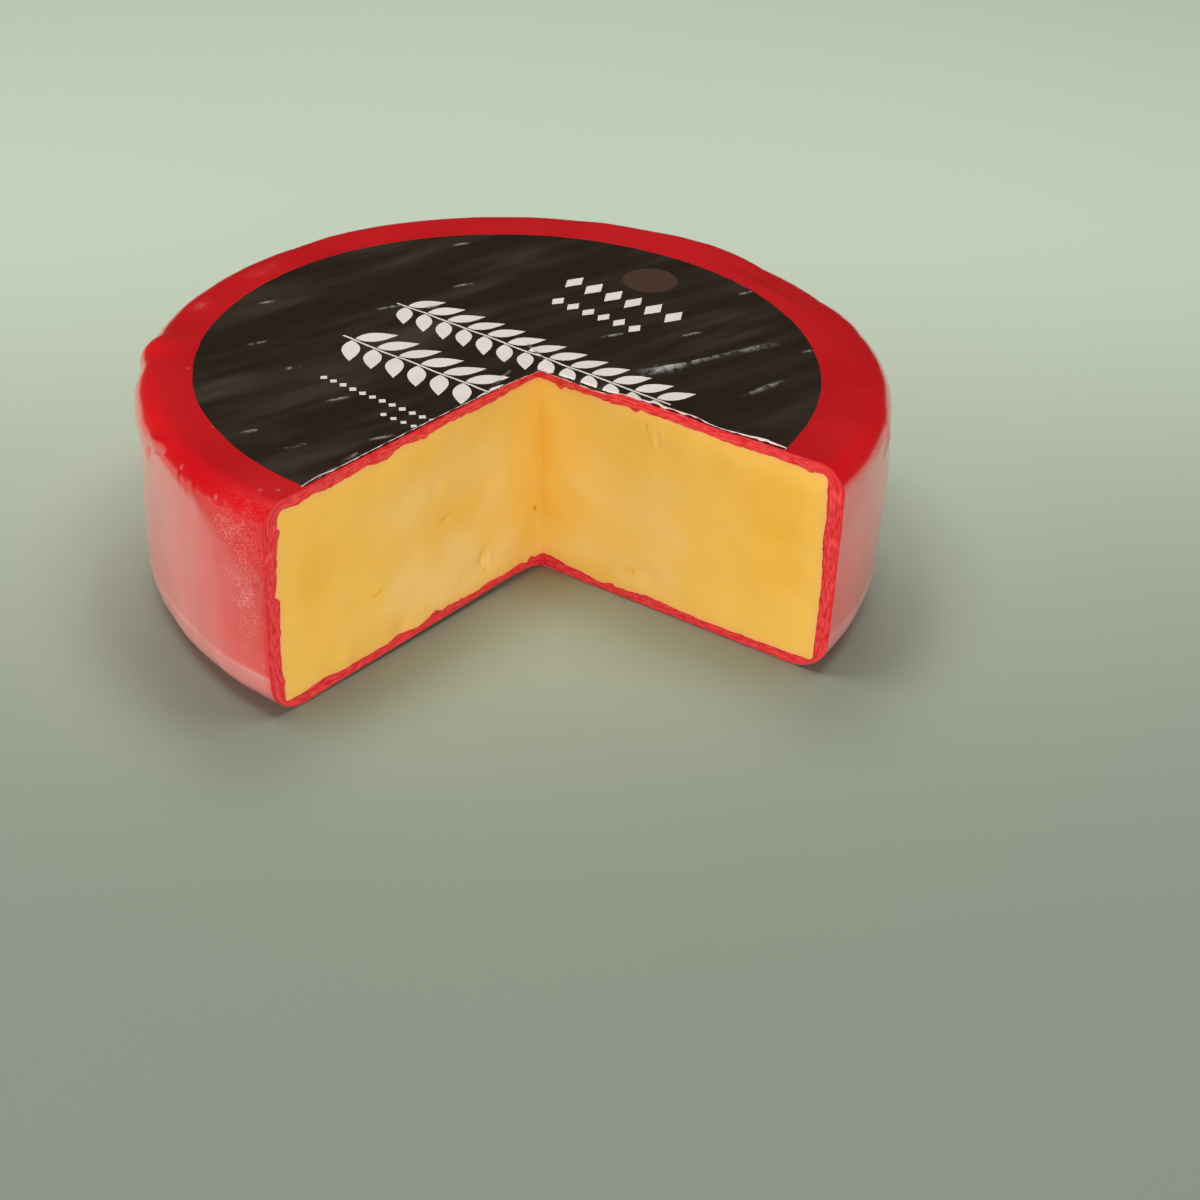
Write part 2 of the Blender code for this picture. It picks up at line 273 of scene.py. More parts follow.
# Small folds of the film that catch the light, in millimetres: place and half-length, and then the
# bearing, half-width and rise that all of them have
FILM_FOLDS = (
    (34, 53, 3.5), (-58, 2, 4.5), (-47, 11, 3), (-73, 59, 3), (-50, 33, 4), (-92, -22, 3),
    (-73, -47, 3.5), (-52, -53, 3), (-26, -59, 3.5), (-32, -92, 3), (-15, -90, 3), (2, -69, 4),
    (14, 35, 4), (30, 93, 3), (72, 69, 3),
)
FOLD_BEARING = 63.0
FOLD_HALF_WIDTH = 0.5
FOLD_RISE = 0.35

# How pale the film is along its creases and its folds, partly wear and partly painted glints, and
# which way its wrinkles and the painted sheen in their streaks run
CREASE_GLINT_SHARE = 0.50
FOLD_GLINT_SHARE = 0.75
STREAK_BEARING = 74.0

# The film's materials, by their numbers in its mesh
PLAIN, WHITE, BROWN, TORN_EDGE = range(4)

# The camera, as the photograph's perspective gives it
CAMERA_PLACE = Vector((0.4035, -0.5128, 0.4064))
CAMERA_AIM = Vector((0.0409, -0.0044, 0.0))
CAMERA_ROLL = 2.19
CAMERA_LENS = 65.66
CAMERA_BEARING = 308.2

# The area lights: name, bearing counted from the camera's own, elevation, distance, size, power, and
# whether the wax mirrors it
LIGHTS = (
    ("overhead_left", 270.0, 72.0, 1.45, (0.5, 0.5), 6.0, True),
    ("overhead_right", 90.0, 72.0, 1.45, (0.5, 0.5), 5.2, True),
    ("overhead_back", 180.0, 66.0, 1.45, (0.6, 0.6), 7.2, False),
    ("front", 5.0, 7.0, 2.0, (2.6, 0.12), 37.5, False),
    ("left_fill", 277.0, 6.0, 1.2, (1.2, 0.2), 11.3, False),
    ("right_fill", 90.0, 6.0, 1.4, (0.9, 0.2), 5.6, False),
    ("back_fill", 180.0, 20.0, 2.4, (2.0, 0.8), 7.0, False),
)
LIGHT_AIM = Vector((0.0, 0.0, 0.04))
WORLD_COLOUR = (0.86, 0.93, 0.84, 1.0)
WORLD_STRENGTH = 0.02

# The floor ends short of the low front light, which would burn it out
FLOOR_RADIUS = 1.25

# Colours, linear
FLOOR_PALE = (0.555, 0.635, 0.500)
# Painted shade at the floor's front
FLOOR_PAINTED_SHADE = (0.275, 0.313, 0.250)
WAX_RED = (0.52, 0.004, 0.008)
WAX_LIGHT = (0.60, 0.007, 0.011)
CUT_WAX_DEEP = (0.58, 0.010, 0.014)
CUT_WAX_PALE = (0.84, 0.068, 0.072)
CUT_WAX_INNER = (0.40, 0.008, 0.006)
# Painted highlight on the cut wax's outer edge
CUT_WAX_EDGE_HIGHLIGHT = (0.85, 0.30, 0.28)
PASTE_COLOUR = (0.845, 0.490, 0.089)
# Deeper orange, also used as painted shade
PASTE_DEEP_AND_SHADE = (0.81, 0.415, 0.042)
PASTE_PALE = (0.86, 0.565, 0.180)
PASTE_BY_WAX = (0.84, 0.37, 0.13)
PASTE_SPOT = (0.20, 0.08, 0.02)
# Pale bloom that is partly painted sheen
WAX_BLOOM_AND_SHEEN = (0.62, 0.23, 0.205)
# Painted glint specks
WAX_GLINT_SPECK = (0.82, 0.42, 0.38)
FILM_BLACK = (0.0205, 0.0135, 0.0085)
# Painted sheen on the film's wrinkles
FILM_SHEEN_GREY = (0.050, 0.0375, 0.0255)
# Pale creases: partly wear, partly painted glints
FILM_CREASE_WEAR_AND_GLINT = (0.45, 0.41, 0.38)
PRINT_WHITE = (0.76, 0.68, 0.62)
PRINT_BROWN = (0.065, 0.036, 0.023)
FILM_EDGE = (0.80, 0.62, 0.60)


def smooth_step(low, high, value):
    share = np.clip((value - low) / (high - low), 0.0, 1.0)
    return share * share * (3.0 - 2.0 * share)


def noise_at(points, scale=1.0):
    """Smooth noise at an array of points, in places that are scaled first."""
    values = [noise.noise(Vector(point)) for point in (points.reshape(-1, 3) * scale).tolist()]
    return np.array(values).reshape(points.shape[:-1])


def layered_noise(points, layers):
    """The sum, in metres, of layers of noise with their sizes in millimetres."""
    return sum(size * noise_at(points, scale) for size, scale in layers) / 1000.0


def stacked(*parts):
    return np.stack(np.broadcast_arrays(*parts), axis=-1)


def raised(level, height):
    """Level points, each given its height."""
    return np.concatenate([level, np.broadcast_to(height, level.shape[:-1])[..., None]], axis=-1)


def cross(one, other):
    """The cross product of level vectors."""
    return one[..., 0] * other[..., 1] - one[..., 1] * other[..., 0]


def lookup(table, place):
    """A value in metres read between the rows of a table in millimetres."""
    places, values = zip(*table)
    return np.interp(np.asarray(place) * 1000.0, places, values) / 1000.0


def strokes(across, up, marks):
    """Straight ridges and grooves, each highest at its middle. A mark holds both its ends and its
    half-width, in millimetres, and its strength, and these strengths are summed."""
    total = np.zeros(np.broadcast(across, up).shape)
    for *lengths, strength in marks:
        x0, y0, x1, y1, half_width = np.array(lengths) / 1000.0
        run, climb = x1 - x0, y1 - y0
        share = ((across - x0) * run + (up - y0) * climb) / (run * run + climb * climb)
        share = np.clip(share, 0.0, 1.0)
        distance = np.hypot(across - x0 - share * run, up - y0 - share * climb)
        total += strength * (0.3 + 0.7 * np.sin(math.pi * share)) * np.exp(-(distance / half_width) ** 2)
    return total


def spots(across, up, marks):
    """Soft oval spots. A mark holds its middle, half-width and half-height, in millimetres, and its
    strength, and these strengths are summed."""
    total = np.zeros(np.broadcast(across, up).shape)
    for *lengths, strength in marks:
        x, y, half_width, half_height = np.array(lengths) / 1000.0
        total += strength * np.exp(-((across - x) / half_width) ** 2 - ((up - y) / half_height) ** 2)
    return total


def unrolled(table):
    """A table's rows, each with the millimetres round the rim to its bearing in that bearing's place."""
    return [(bearing * RIM_DEGREE, *rest) for bearing, *rest in table]


def direction(bearing):
    turn = np.radians(bearing)
    return stacked(np.cos(turn), np.sin(turn))


def corner_at(height):
    share = np.asarray(height)[..., None] / WHEEL_HEIGHT
    return CORNER_FOOT + (CORNER_TOP - CORNER_FOOT) * share


def ray_in(bearing, height):
    """At a bearing: the rim point, the level unit vector from it to the cut's corner, and its length."""
    rim = direction(bearing) * WHEEL_RADIUS
    across = corner_at(height) - rim
    length = np.linalg.norm(across, axis=-1)
    return rim, across / length[..., None], length


def fan_point(bearing, inset, height):
    """The point that lies inset in from the rim, on the way to the cut's corner."""
    rim, inward, _ = ray_in(bearing, height)
    return raised(rim + inward * inset[..., None], height)


def edge_rows(low, high, rim, rounds, counts):
    """A section's outer part, from the top's edge down to the base's: inset, height and lean, which
    is 90 where the surface faces up and 0 where it faces out."""
    top_round, foot_round = rounds
    top_lean = np.linspace(90.0, 0.0, counts[0])
    foot_lean = np.linspace(0.0, -90.0, counts[2])
    side = np.linspace(high - top_round, low + foot_round, counts[1] + 2)[1:-1]
    bend = [radius * (1.0 - np.cos(np.radians(lean))) for radius, lean in
            ((top_round, top_lean), (foot_round, foot_lean))]
    inset = np.concatenate([rim + bend[0], np.full(side.shape, rim), rim + bend[1]])
    above = high - top_round * (1.0 - np.sin(np.radians(top_lean)))
    below = low + foot_round * (1.0 + np.sin(np.radians(foot_lean)))
    lean = np.concatenate([top_lean, np.zeros(side.shape), foot_lean])
    return inset, np.concatenate([above, side, below]), lean


def walk_up(inset, height, lean):
    """A height that goes on growing round the top edge and inward, and shrinking round the foot."""
    top = WHEEL_HEIGHT - TOP_EDGE_RADIUS * (1.0 - np.radians(lean))
    top = top + np.where(lean > 89.9, inset - TOP_EDGE_RADIUS, 0.0)
    foot = BOTTOM_EDGE_RADIUS * (1.0 + np.radians(lean))
    foot = foot - np.where(lean < -89.9, inset - BOTTOM_EDGE_RADIUS, 0.0)
    return np.where(lean > 0.0, top, np.where(lean < 0.0, foot, height))


def unevenness(points):
    """How far the hand-waxed outside stands out of the true turned form at these points."""
    x, y, z = np.moveaxis(points, -1, 0)
    above_base = smooth_step(0.001, 0.012, z)
    off_label = smooth_step(LABEL_RADIUS + 0.002, WHEEL_RADIUS - 0.008, np.hypot(x, y))
    rise = layered_noise(points, OUTSIDE_WAVES)
    rise += spots(np.arctan2(y, x) % math.tau * WHEEL_RADIUS, z, unrolled(LUMPS)) / 1000.0
    return rise * above_base * off_label


def wax_relief(points, bearing, walk):
    """The finer relief of the wax: creases, ridges and soft hammered dents."""
    marks = [(b0 * RIM_DEGREE, w0, b1 * RIM_DEGREE, w1, *rest) for b0, w0, b1, w1, *rest in WAX_MARKS]
    rise = strokes(np.radians(bearing) * WHEEL_RADIUS, walk, marks) / 1000.0
    on_side = 0.3 + 0.7 * smooth_step(0.074, 0.064, walk)
    rise += on_side * layered_noise(points, HAMMERED_WAX)
    return rise * smooth_step(0.0008, 0.005, points[..., 2])


def face_ways(side, height):
    """Level unit vectors at one side of the cut: outward along it, and into the cheese."""
    _, inward, _ = ray_in(np.full(np.shape(height), RIM_BEARINGS[side]), height)
    turn = 1.0 if side == LEFT else -1.0
    return -inward, stacked(-inward[..., 1] * turn, inward[..., 0] * turn)


def face_place(points, side, corner):
    """Where level points lie beside one side of the cut: along it, and into the cheese."""
    way, into_cheese = face_ways(side, WHEEL_HEIGHT)
    return (points - corner) @ way, (points - corner) @ into_cheese


def foot_lift(points):
    """How far the base stands off the floor beside the left cut, at points of the outside."""
    along, depth = face_place(points[..., :2], LEFT, CORNER_FOOT)
    near = smooth_step(FOOT_LIFT_DEPTH, 0.0, depth) * smooth_step(0.012, 0.0, points[..., 2])
    return lookup(FOOT_LIFT, along) * near


def outside_points(bearing, inset, height, lean):
    """Points of the wheel's outside, with all its unevenness."""
    points = fan_point(bearing, inset, height)
    _, inward, _ = ray_in(bearing, height)
    facing = np.radians(lean)
    walk = walk_up(inset, height, lean)
    rise = unevenness(points) + wax_relief(points, bearing, walk)
    sideways, upward = np.cos(facing) * rise, np.sin(facing) * rise
    points[..., :2] -= inward * sideways[..., None]
    points[..., 2] += upward + foot_lift(points)
    return points


def film_edge_inset(bearing):
    """How far in from the rim the film's slightly wavy edge lies."""
    turn = direction(bearing) * 3.0
    place = stacked(turn[..., 0], turn[..., 1], 0.5)
    radius = LABEL_RADIUS + layered_noise(place, LABEL_WAVES)
    rim, inward, _ = ray_in(bearing, WHEEL_HEIGHT)
    offset = rim - LABEL_CENTRE
    reach = (offset * inward).sum(axis=-1)
    gap = (offset ** 2).sum(axis=-1) - radius ** 2
    return -reach - np.sqrt(reach ** 2 - gap)


def relief(side, along, height):
    """The knife's waviness and the pits in one side of the cut, as depth into the cheese."""
    flat = stacked(along * 70.0, height * 90.0, side * 9.0)
    wave = CUT_WAVINESS * noise_at(flat) + spots(along, height, PITS[side]) / 1000.0
    return wave * smooth_step(0.0, 0.004, along)


def face_point(side, along, height, depth):
    """A point of a cut face: along from the corner, up from the base, and depth into the cheese."""
    along, height, depth = np.broadcast_arrays(along, height, depth)
    way, into_cheese = face_ways(side, height)
    return raised(corner_at(height) + way * along[..., None] + into_cheese * depth[..., None], height)


def face_reach(side, height):
    return ray_in(np.full(np.shape(height), RIM_BEARINGS[side]), height)[2]


def quads_between(index, ahead):
    """Four-sided faces from each column of vertex numbers to the one ahead of it."""
    return np.stack([index[:-1], index[1:], ahead[1:], ahead[:-1]], axis=-1).reshape(-1, 4).tolist()


def closed_piece(name, patches, material, joined_ends=False, layers=None):
    """One closed piece from grids of points whose meeting edges are welded. With joined_ends, two
    grids' first columns, and their last ones, are joined by a face each."""
    polygons, grids, start = [], [], 0
    for points in patches:
        index = start + np.arange(points[..., 0].size).reshape(points.shape[:2])
        polygons += quads_between(index[:, :-1], index[:, 1:])
        grids.append(index)
        start += index.size
    if joined_ends:
        polygons += [[*grids[0][:, end].tolist(), *grids[1][::-1, end].tolist()] for end in (0, -1)]
    vertices = np.concatenate([points.reshape(-1, 3) for points in patches])
    return welded_piece(name, vertices.tolist(), polygons, [material], layers)


def welded_piece(name, vertices, polygons, materials, layers=None, slots=None):
    mesh = bpy.data.meshes.new(name)
    mesh.from_pydata(vertices, [], polygons)
    if slots:
        mesh.polygons.foreach_set("material_index", slots)
    for layer, values in (layers or {}).items():
        mesh.attributes.new(layer, "FLOAT", "POINT").data.foreach_set("value", np.ravel(values))
    bm = bmesh.new()
    bm.from_mesh(mesh)
    bmesh.ops.remove_doubles(bm, verts=bm.verts, dist=WELD_GAP)
    bmesh.ops.recalc_face_normals(bm, faces=bm.faces)
    bm.to_mesh(mesh)
    bm.free()
    for material in materials:
        mesh.materials.append(material)
    mesh.shade_smooth()
    mesh.set_sharp_from_angle(angle=math.radians(SHARP_ANGLE))
    piece = bpy.data.objects.new(name, mesh)
    bpy.context.scene.collection.objects.link(piece)
    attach(piece, "root")
    return piece


class Shader:
    """A Principled material, with short ways to wire its nodes."""

    def __init__(self, name):
        self.material = bpy.data.materials.new(name)
        self.material.use_nodes = True
        self.tree = self.material.node_tree
        self.principled = self.tree.nodes["Principled BSDF"]
        self.place = self.node("ShaderNodeTexCoord").outputs["Object"]

    def node(self, kind, inputs=None, **settings):
        node = self.tree.nodes.new(kind)
        for key, value in settings.items():
            setattr(node, key, value)
        for socket, value in (inputs or {}).items():
            self.feed(node.inputs[socket], value)
        return node

    def feed(self, socket, value):
        if isinstance(value, bpy.types.NodeSocket):
            self.tree.links.new(value, socket)
        else:
            socket.default_value = value

    def set(self, **values):
        for name, value in values.items():
            self.feed(self.principled.inputs[name.replace("_", " ")], value)

    def layer(self, name):
        return self.node("ShaderNodeAttribute", attribute_name=name).outputs["Fac"]

    def math(self, operation, *values):
        return self.node("ShaderNodeMath", dict(enumerate(values)), operation=operation).outputs[0]

    def stretched(self, stretch, turn=0.0):
        """The object's coordinates, turned about Z by turn degrees and stretched along each axis."""
        turned = self.node("ShaderNodeVectorRotate", {"Vector": self.place, "Angle": math.radians(turn)})
        inputs = {"Vector": turned.outputs[0], "Scale": stretch}
        return self.node("ShaderNodeMapping", inputs).outputs[0]

    def noise(self, scale, detail=2.0, place=None):
        inputs = {"Vector": place or self.place, "Scale": scale, "Detail": detail}
        return self.node("ShaderNodeTexNoise", inputs).outputs[0]

    def between(self, value, low, high, to_low=0.0, to_high=1.0):
        """Value taken smoothly from low..high to to_low..to_high."""
        inputs = {0: value, 1: low, 2: high, 3: to_low, 4: to_high}
        return self.node("ShaderNodeMapRange", inputs, interpolation_type="SMOOTHSTEP").outputs[0]

    def patches(self, scale, low, high, to_low=0.0, to_high=1.0, **how):
        """Soft patches of noise, taken smoothly from low..high to to_low..to_high."""
        return self.between(self.noise(scale, **how), low, high, to_low, to_high)

    def mix(self, share, one, other):
        one, other = ((*shade, 1.0) if isinstance(shade, tuple) else shade for shade in (one, other))
        return self.node("ShaderNodeMix", {0: share, 6: one, 7: other}, data_type="RGBA").outputs[2]

    def bump(self, height, distance, normal=None):
        inputs = {"Height": height, "Distance": distance}
        if normal:
            inputs["Normal"] = normal
        return self.node("ShaderNodeBump", inputs).outputs[0]


def wax_material():
    """Dipped wax: clear red, a pale bloom in upright streaks that is partly painted sheen, and painted
    glint specks where it has an orange-peel skin."""
    shader = Shader("red_wax")
    cloud = shader.patches(16.0, 0.35, 0.65)
    colour = shader.mix(cloud, WAX_RED, WAX_LIGHT)
    upright = shader.stretched((1.0, 1.0, 0.10))
    streak = shader.patches(90.0, 0.30, 0.70, 0.78, detail=3.0, place=upright)
    # The pale bloom is partly painted sheen: the side's reflection of the light, painted into its
    # colour.
    bloom_and_sheen = shader.math("MULTIPLY", shader.layer("bloom_and_sheen"), streak)
    colour = shader.mix(bloom_and_sheen, colour, WAX_BLOOM_AND_SHEEN)
    grain = shader.noise(1600.0, 1.0)
    peel_and_glints = shader.layer("peel_and_glints")
    # Painted glint specks over the orange-peel skin.
    glint_specks = shader.math("MULTIPLY", shader.between(grain, 0.46, 0.66, 0.0, 0.45), peel_and_glints)
    patchy = shader.patches(220.0, 0.35, 0.65, 0.3)
    colour = shader.mix(shader.math("MULTIPLY", glint_specks, patchy), colour, WAX_GLINT_SPECK)
    soft = shader.bump(shader.noise(110.0), 0.00012)
    fine = shader.bump(shader.math("MULTIPLY", grain, peel_and_glints), 0.00025, soft)
    roughness = shader.patches(60.0, 0.3, 0.7, 0.28, 0.36)
    shader.set(Base_Color=colour, Roughness=roughness, Normal=fine, Specular_IOR_Level=0.25)
    shader.set(Coat_Weight=1.0, Coat_Roughness=0.14, Coat_IOR=1.6, Coat_Normal=fine)
    return shader.material


def cut_wax_material():
    """The knife's streaks along the cut wax, darker beside the paste and paler at its outer edge, with a
    painted highlight along that edge near the foot.
    """
    shader = Shader("cut_wax")
    share = shader.layer("share")
    inputs = {"X": shader.math("MULTIPLY", shader.layer("walk"), 45.0), "Y": share}
    lengthwise = shader.node("ShaderNodeCombineXYZ", inputs).outputs[0]
    streak = shader.noise(6.0, place=lengthwise)
    colour = shader.mix(shader.between(streak, 0.30, 0.72), CUT_WAX_DEEP, CUT_WAX_PALE)
    inner = shader.between(share, 0.86, 0.97, 0.0, 0.75)
    broken = shader.patches(240.0, 0.42, 0.58, 0.25)
    colour = shader.mix(shader.math("MULTIPLY", inner, broken), colour, CUT_WAX_INNER)
    colour = shader.mix(shader.between(share, 0.22, 0.0, 0.0, 0.6), colour, WAX_LIGHT)
    # The pale outer edge near the foot is a painted highlight.
    colour = shader.mix(shader.layer("pale"), colour, CUT_WAX_EDGE_HIGHLIGHT)
    rough = shader.bump(streak, 0.00005)
    shader.set(Base_Color=colour, Roughness=0.40, Normal=rough, Specular_IOR_Level=0.4)
    return shader.material


def paste_material():
    """Cut cheese: orange that deepens and pales in soft fields, painted shade as deeper orange by the
    corner and outer parts, a few brown spots, red by the wax.
    """
    shader = Shader("cheese")
    tint_and_shade = shader.math("MULTIPLY_ADD", shader.math("SUBTRACT", shader.noise(45.0, 4.0), 0.5), 2.0,
                       shader.layer("tint_and_shade"))
    # Deeper orange is partly the paste's own tone and partly painted shade along the corner and the
    # outer parts.
    colour = shader.mix(shader.between(tint_and_shade, 0.0, 1.3), PASTE_COLOUR, PASTE_DEEP_AND_SHADE)
    colour = shader.mix(shader.between(tint_and_shade, 0.0, -1.3), colour, PASTE_PALE)
    colour = shader.mix(shader.between(tint_and_shade, 1.6, 3.2), colour, PASTE_SPOT)
    colour = shader.mix(shader.layer("near_wax"), colour, PASTE_BY_WAX)
    grain = shader.bump(shader.noise(200.0), 0.00005)
    roughness = shader.patches(90.0, 0.3, 0.7, 0.46, 0.58)
    shader.set(Base_Color=colour, Roughness=roughness, Normal=grain, Specular_IOR_Level=0.30)
    return shader.material


def film_material(name, colour, other, roughness):
    """Thin printed film: each print colour lies under the same gloss and the same fine wrinkles, and is
    paled along the creases, partly as wear and partly as painted glints. The film's own black is
    streaked with a painted sheen along its wrinkles.
    """
    shader = Shader(name)
    lengthwise = shader.stretched((0.16, 1.0, 1.0), turn=-STREAK_BEARING)
    cloud = shader.patches(110.0, 0.38, 0.74, place=lengthwise)
    patchy = shader.patches(20.0, 0.35, 0.65, 0.35, detail=1.0)
    fine = shader.bump(shader.noise(260.0, place=lengthwise), 0.00010)
    # Painted sheen: the film's black is streaked paler along its wrinkles.
    tone = shader.mix(shader.math("MULTIPLY", cloud, patchy), colour, other)
    broken = shader.patches(420.0, 0.36, 0.60)
    # Painted glints, partly wear: the creases and folds are paled.
    tone = shader.mix(shader.math("MULTIPLY", shader.layer("crease_wear_and_glint"), broken), tone, FILM_CREASE_WEAR_AND_GLINT)
    shader.set(Base_Color=tone, Roughness=roughness, Normal=fine, Specular_IOR_Level=0.32)
    return shader.material


def level_rows(start, end, height, lean, shares):
    """Rows of a section that run level from one inset to another."""
    return [(start + (end - start) * share, height, lean) for share in shares]


def plain_section(bearing, low, high, rim, rounds, counts):
    """A plain turned body at each bearing, row by row from its top's middle round to its base's."""
    edge = edge_rows(low, high, rim, rounds, counts[1:4])
    _, _, reach_top = ray_in(bearing, high)
    _, _, reach_foot = ray_in(bearing, low)
    rows = level_rows(reach_top, edge[0][0], high, 90.0, np.linspace(0.0, 1.0, counts[0])[:-1])
    rows += [(np.full(bearing.shape, inset), height, lean) for inset, height, lean in zip(*edge)]
    rows += level_rows(edge[0][-1], reach_foot, low, -90.0, np.linspace(0.0, 1.0, counts[4])[1:])
    return as_grids(rows)


def as_grids(rows):
    """A section's rows as grids of inset, height and lean, with one column a bearing."""
    inset, height, lean = zip(*rows)
    columns = np.ones(len(inset[0]))
    return np.array(inset), np.outer(height, columns), np.outer(lean, columns)


def wax_section(bearing):
    """The coat's outside, row by row: under the film, over the lip of wax round it, and on outward."""
    _, _, reach = ray_in(bearing, FILM_SEAT)
    film_edge = film_edge_inset(bearing)
    lip = ((0.0, FILM_SEAT), (0.0, LIP_TOP - 0.00006), (0.0001, LIP_TOP - 0.00002), (0.0003, LIP_TOP),
           (0.0007, LIP_TOP), (0.0012, LIP_TOP - 0.00004), (0.0020, WHEEL_HEIGHT))
    rows = level_rows(reach, film_edge, FILM_SEAT, 90.0, (0.0, 0.5, 0.9))
    rows += [(film_edge - back, height, 90.0) for back, height in lip]
    ring = np.linspace(0.0, 1.0, 24)[1:-1]
    rows += level_rows(film_edge - lip[-1][0], TOP_EDGE_RADIUS, WHEEL_HEIGHT, 90.0, ring)
    rest = plain_section(bearing, 0.0, WHEEL_HEIGHT, 0.0, WHEEL_ROUNDS, (1, 18, 62, 24, 25))
    return [np.concatenate(parts) for parts in zip(as_grids(rows), rest)]


def wax_bearings():
    """Columns of the coat: wider apart round the back, close together towards the left cut."""
    front_start = 208.0
    back = np.linspace(RIM_BEARINGS[RIGHT], front_start, 330)
    front = np.linspace(front_start, RIM_BEARINGS[LEFT], 230)
    return np.concatenate([back[:-1], front])


def bloom_and_sheen_share(points, bearing, walk):
    """How much pale bloom and painted sheen the side carries: most on the left, none over the top edge,
    with painted reflection on the rounded foot, a painted highlight line where it begins, and painted
    highlight dots.
    """
    ragged = walk + layered_noise(points, BLOOM_AND_SHEEN_EDGE)
    top = np.interp(bearing, *zip(*BLOOM_AND_SHEEN_TOP)) / 1000.0
    fade = 0.002 + 0.8 * (0.0705 - top)
    below = np.clip((top + 0.001 - ragged) / fade, 0.0, 1.0)
    on_side = below * smooth_step(0.001, 0.005, walk)
    ahead = np.interp(bearing, *zip(*BLOOM_AND_SHEEN_AHEAD))
    # Painted reflection: the rounded foot is paler, and a painted highlight line runs along where it
    # begins.
    low = 0.20 * smooth_step(0.034, 0.012, walk) + 0.48 * smooth_step(0.0165, 0.0150, walk)
    line = 0.45 * np.exp(-((walk - FOOT_HIGHLIGHT_LINE) / 0.0008) ** 2)
    cloud = 0.2 * noise_at(points * 22.0 + (5.0, 0.0, 0.0))
    share = on_side * np.clip(ahead + low + line + cloud, 0.0, 1.0)
    # Painted highlight dots, each at full strength in its middle.
    glint_dots = [(*place, GLINT_DOT_SIZE, GLINT_DOT_SIZE) for place in GLINT_DOTS]
    return np.maximum(share, strongest_spot(bearing, walk, glint_dots))


def strongest_spot(bearing, walk, table):
    """Spots of the wax that don't add up where they meet: 1 in the middle of each."""
    share = np.zeros(np.broadcast(bearing, walk).shape)
    for place in unrolled(table):
        share = np.maximum(share, spots(np.radians(bearing) * WHEEL_RADIUS, walk, [(*place, 1.0)]))
    return share


def build_wax(material):
    """The coat as a closed shell: its fine outside, its hidden inside, and a face at each cut."""
    bearing = wax_bearings()
    inset, height, lean = wax_section(bearing)
    columns = np.broadcast_to(bearing, inset.shape)
    outside = outside_points(columns, inset, height, lean)
    inner_bearing = np.linspace(bearing[0], bearing[-1], 90)
    rounds = [radius - WAX_SHELL for radius in WHEEL_ROUNDS]
    inner_inset, inner_height, _ = plain_section(inner_bearing, WAX_SHELL, WHEEL_HEIGHT - WAX_SHELL,
                                                 WAX_SHELL, rounds, (3, 5, 3, 5, 12))
    inside = fan_point(np.broadcast_to(inner_bearing, inner_inset.shape), inner_inset, inner_height)
    inside[..., 2] += foot_lift(inside)
    walk = walk_up(inset, height, lean)
    masks = {"peel_and_glints": strongest_spot(columns, walk, PEEL_AND_GLINT_PATCHES),
             "bloom_and_sheen": bloom_and_sheen_share(outside, columns, walk)}
    layers = {key: np.concatenate([np.ravel(mask), np.zeros(inner_inset.size)])
              for key, mask in masks.items()}
    piece = closed_piece("wax_outside", [outside, inside], material, joined_ends=True, layers=layers)
    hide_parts("wax_coat")


def face_section(side, *form):
    """A plain turned body's outline in a cut face: inset, height and lean."""
    return [part[:, 0] for part in plain_section(np.array([RIM_BEARINGS[side]]), *form)]


def outer_outline(side, counts):
    """The wheel's outline in a cut face, from the corner's top round to its foot."""
    inset, height, lean = face_section(side, 0.0, WHEEL_HEIGHT, 0.0, WHEEL_ROUNDS, counts)
    points = outside_points(np.full(inset.shape, RIM_BEARINGS[side]), inset, height, lean)
    film_edge = film_edge_inset(RIM_BEARINGS[side])
    sunk = smooth_step(film_edge - 0.0006, film_edge + 0.0002, inset) * (lean > 0.0)
    up = points[:, 2] - (WHEEL_HEIGHT - FILM_SEAT) * sunk
    along = np.linalg.norm(points[:, :2] - corner_at(points[:, 2]), axis=-1)
    along[[0, -1]] = 0.0
    return along, up


def inner_outline(side, counts):
    """Where the wax ends and the paste begins in a cut face, matched to the outer outline."""
    inset, height, _ = face_section(side, PASTE_LOW, PASTE_HIGH, PASTE_RIM, PASTE_CORNERS, counts)
    return banded(side, face_reach(side, height) - inset, height)


def banded(side, along, height):
    """A place in the paste's plain outline, moved to where the uneven wax really ends."""
    foot, top = lookup(BAND_FOOT[side], along), lookup(BAND_TOP[side], along)
    reach = face_reach(side, height)
    height = foot + (top - foot) * (height - PASTE_LOW) / (PASTE_HIGH - PASTE_LOW)
    return along * (reach - lookup(BAND_RIM[side], height)) / (reach - PASTE_RIM), height


def ragged_shift(side, walk, along, height):
    """How far the wax's torn inner edge strays onto the paste (+) or back from it (-)."""
    place = stacked(along, height, 0.4 + 0.2 * side)
    shift = layered_noise(place, TORN_WAX)
    flaps = 0.0035 * np.maximum(noise_at(stacked(walk, 0.0, 5.0 + side), 170.0) - 0.28, 0.0)
    return np.maximum(shift + flaps, -0.0007)


def band_edges(side, counts):
    """The outer edge and the torn inner edge of the wax in one cut face, each as distances from the
    corner and heights, and how far along they run."""
    outer = outer_outline(side, counts)
    along, height = inner_outline(side, counts)
    walk = np.cumsum(np.hypot(np.gradient(along), np.gradient(height)))
    shift = ragged_shift(side, walk, along, height) * smooth_step(0.0, 0.002, along)
    run, climb = along - outer[0], height - outer[1]
    length = np.maximum(np.hypot(run, climb), 0.0001)
    inner = np.maximum(along + shift * run / length, 0.0), height + shift * climb / length
    return outer, inner, walk


